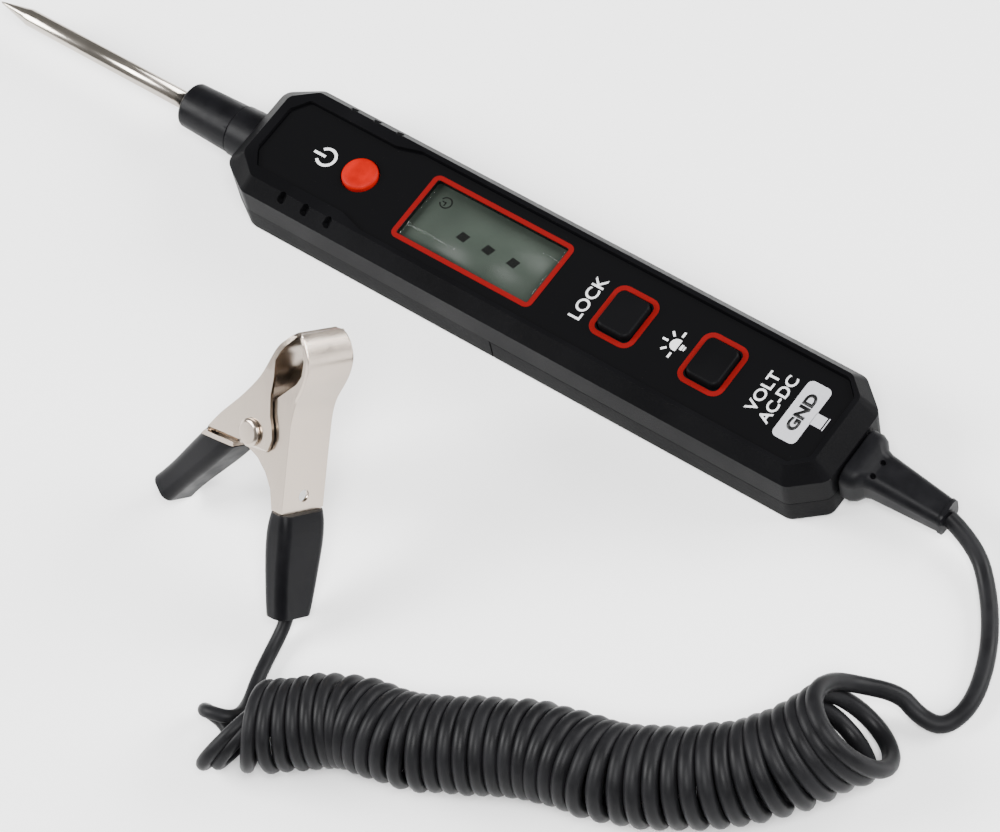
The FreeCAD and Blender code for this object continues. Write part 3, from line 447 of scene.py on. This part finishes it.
def add_ring(shape, outer, inner, low, high):
    """Closed flat ring between two outlines with equally many points."""
    rows = []
    for outline, z in ((outer, low), (outer, high), (inner, high), (inner, low)):
        rows.append([shape.verts.new((p.x, p.y, z)) for p in outline])
    count = len(outer)
    for row, following in zip(rows, rows[1:] + rows[:1]):
        for i in range(count):
            j = (i + 1) % count
            shape.faces.new((row[i], row[j], following[j], following[i]))


def printed_plates(name, outlines, low, high, material):
    def build(shape):
        for outline in outlines:
            add_plate(shape, outline, low, high)
    return mesh_piece(name, build, material)


def printed_ring(name, x, length, width, line, radius):
    """Rounded red frame across the face at x, with a line of the given width."""
    def build(shape):
        outer = rounded_outline(x, 0, length, width, radius)
        inner = rounded_outline(x, 0, length - 2 * line, width - 2 * line, max(radius - line, 0.25))
        add_ring(shape, outer, inner, PANEL_Z - 2 * SINK, PANEL_Z + RING_HIGH)
    return mesh_piece(name, build, "ink_red")


def arc_band(x, y, radius, line, start, end, steps=40):
    """Outline of a curved stroke, angles in degrees from +X."""
    outer, inner = [], []
    for step in range(steps + 1):
        angle = math.radians(start + (end - start) * step / steps)
        direction = Vector((math.cos(angle), math.sin(angle)))
        outer.append(Vector((x, y)) + direction * (radius + line / 2))
        inner.append(Vector((x, y)) + direction * (radius - line / 2))
    return outer + inner[::-1]


def bar(x, y, length, width, turn=0.0):
    """Outline of a straight stroke centred on x, y, turned from +X by an angle in degrees."""
    along = Vector((math.cos(math.radians(turn)), math.sin(math.radians(turn))))
    across = Vector((-along.y, along.x))
    corners = ((1, 1), (-1, 1), (-1, -1), (1, -1))
    return [Vector((x, y)) + along * (sx * length / 2) + across * (sy * width / 2) for sx, sy in corners]


def printed_text(name, words, x, height, length, weight, material, high=INK):
    """Generic label, centred across the face at x, that reads with the probe up."""
    data = bpy.data.curves.new(name, "FONT")
    data.body = words
    data.align_x = "CENTER"
    data.size = 1.0
    data.offset = weight
    data.resolution_u = 6
    label = bpy.data.objects.new("text_guide", data)
    bpy.context.scene.collection.objects.link(label)
    bpy.context.view_layer.update()
    mesh = bpy.data.meshes.new_from_object(label)
    bpy.data.objects.remove(label)
    xs = [vertex.co.x for vertex in mesh.vertices]
    ys = [vertex.co.y for vertex in mesh.vertices]
    scale_y = height / (max(ys) - min(ys))
    scale_x = length / (max(xs) - min(xs))
    centre_x, centre_y = (max(xs) + min(xs)) / 2, (max(ys) + min(ys)) / 2

    def build(shape):
        shape.from_mesh(mesh)
        for vertex in shape.verts:
            across, along = (vertex.co.x - centre_x) * scale_x, (vertex.co.y - centre_y) * scale_y
            vertex.co = (x + along, -across, PANEL_Z + high)
        bottom = bmesh.ops.extrude_face_region(shape, geom=shape.faces[:])["geom"]
        moved = [item for item in bottom if isinstance(item, bmesh.types.BMVert)]
        bmesh.ops.translate(shape, verts=moved, vec=(0, 0, -high - SINK))
    return mesh_piece(name, build, material)


def middle_x(node):
    low, high = extent(node)
    return (low.x + high.x) / 2


POWER_X, HOLD_X, LIGHT_X = middle_x("power_button"), middle_x("hold_button"), middle_x("light_button")
LCD_X = middle_x("display_window")
# Each mark is placed along the face from the button or key that it belongs to.
POWER_MARK_X, LOCK_X, LAMP_X = POWER_X + 9.05, HOLD_X + 9.0, LIGHT_X + 9.0
VOLT_X, CURRENT_X, BADGE_X = LIGHT_X - 12.2, LIGHT_X - 15.9, LIGHT_X - 21.7
DISPLAY_RING = (36.3, 17.6, 1.1, 1.6)         # length, width, width of the line, corner radius
KEY_RING = (10.96, 13.3, 1.15, 2.6)
LEVEL_MARKS = ((-16.9, 0.8), (-23.4, 0.7), (-29.8, 0.6))
LEVEL_CORNERS = ((1.35, 0.8), (-0.79, 1.1), (-1.35, -0.8), (0.79, -1.1))
CLOCK_AT = (-8.7, -4.3)


def print_face():
    printed_ring("frame_display", LCD_X, *DISPLAY_RING)
    printed_ring("frame_hold", HOLD_X, *KEY_RING)
    printed_ring("frame_light", LIGHT_X, *KEY_RING)
    strokes = [arc_band(POWER_MARK_X, 0, 2.1, 0.65, 38, 322), bar(POWER_MARK_X + 1.75, 0, 3.0, 0.62)]
    printed_plates("mark_power", strokes, PANEL_Z - SINK, PANEL_Z + INK, "ink_white")
    printed_text("label_lock", "LOCK", LOCK_X, 2.9, 11.2, 0.012, "ink_white")
    printed_text("label_volt", "VOLT", VOLT_X, 2.6, 10.2, 0.016, "ink_white")
    printed_text("label_current", "AC-DC", CURRENT_X, 2.6, 12.2, 0.016, "ink_white")
    print_lamp(LAMP_X)
    print_badge(BADGE_X)


def print_lamp(x):
    """Small lamp: a round bulb, its neck with a gap, and rays ahead of it."""
    bulb = [Vector((x, 0)) + Vector((math.cos(a), math.sin(a))) * 1.45
            for a in [math.radians(220 * i / 24 - 110) for i in range(25)]]
    neck = [bulb, bar(x - 1.25, 0, 0.6, 1.3), bar(x - 1.9, 0, 0.35, 1.0)]
    rays = [bar(x + 2.75 * math.cos(a), 2.75 * math.sin(a), 1.3, 0.5, math.degrees(a))
            for a in [math.radians(45 * i) for i in range(-2, 3)]]
    printed_plates("mark_lamp", neck + rays, PANEL_Z - SINK, PANEL_Z + INK, "ink_white")


def print_badge(x):
    """Silver plate with a short tab towards the cord, a thin line beside the tab, and a generic word."""
    length = 5.6
    edge = x - length / 2
    plate = rounded_outline(x, 0, length, 14.8, 1.3)
    tab = rounded_outline(edge - 1.2, 0, 2.6, 2.9, 0.05)
    line = bar(edge - 2.95, 0, 0.22, 3.2)
    printed_plates("badge", [plate, tab, line], PANEL_Z - SINK, PANEL_Z + INK, "ink_silver")
    printed_text("label_badge", "GND", x, 2.6, 9.5, 0.05, "ink_black", high=2 * INK)


def print_display():
    """Dark segments of the display: a clock mark and three level marks."""
    low = LCD_Z + 0.01
    marks = [[Vector((x + along, y + across)) for along, across in LEVEL_CORNERS] for x, y in LEVEL_MARKS]
    x, y = CLOCK_AT
    marks += [arc_band(x, y, 1.3, 0.3, 20, 340), bar(x + 0.4, y, 1.0, 0.28), bar(x, y + 0.4, 0.28, 0.9)]
    printed_plates("display_marks", marks, low, low + INK, "ink_black")


print_face()
print_display()


# ---------------------------------------------------------------- floor and light
FLOOR_REACH = 3.0             # metres, from the middle to each side
FLOOR_DROP = 0.0001           # metres, so that nothing lies exactly in the floor
WORLD_STRENGTH = 0.3
LIGHT_AIM = (-0.03, 0.04, 0)  # metres
SOFT_BOXES = (                # name, place and size in metres, watts
    ("key_light", (0.95, 0.62, 0.75), (0.7, 0.7), 44),
    ("fill_light", (-0.75, -0.75, 0.55), (0.8, 0.6), 28),
    ("camera_light", (-0.55, 0.45, 1.25), (0.6, 0.6), 36))


def make_floor():
    data = bpy.data.meshes.new("floor")
    signs = ((-1, -1), (1, -1), (1, 1), (-1, 1))
    corners = [(x * FLOOR_REACH, y * FLOOR_REACH, -FLOOR_DROP) for x, y in signs]
    data.from_pydata(corners, [], [(0, 1, 2, 3)])
    floor = bpy.data.objects.new("floor", data)
    bpy.context.scene.collection.objects.link(floor)
    data.materials.append(principled("floor", (0.97, 0.97, 0.97), 0.9))


def soft_box(name, at, size, power):
    """Large soft light, turned towards the object."""
    data = bpy.data.lights.new(name, "AREA")
    data.shape = "RECTANGLE"
    data.size, data.size_y = size
    data.energy = power
    lamp = bpy.data.objects.new(name, data)
    bpy.context.scene.collection.objects.link(lamp)
    direction = Vector(LIGHT_AIM) - Vector(at)
    lamp.matrix_world = Matrix.Translation(at) @ direction.to_track_quat("-Z", "Y").to_matrix().to_4x4()


def make_light():
    world = bpy.data.worlds.new("studio")
    bpy.context.scene.world = world
    world.use_nodes = True
    background = world.node_tree.nodes["Background"]
    background.inputs["Color"].default_value = (1, 1, 1, 1)
    background.inputs["Strength"].default_value = WORLD_STRENGTH
    for name, at, size, power in SOFT_BOXES:
        soft_box(name, at, size, power)


make_floor()
make_light()
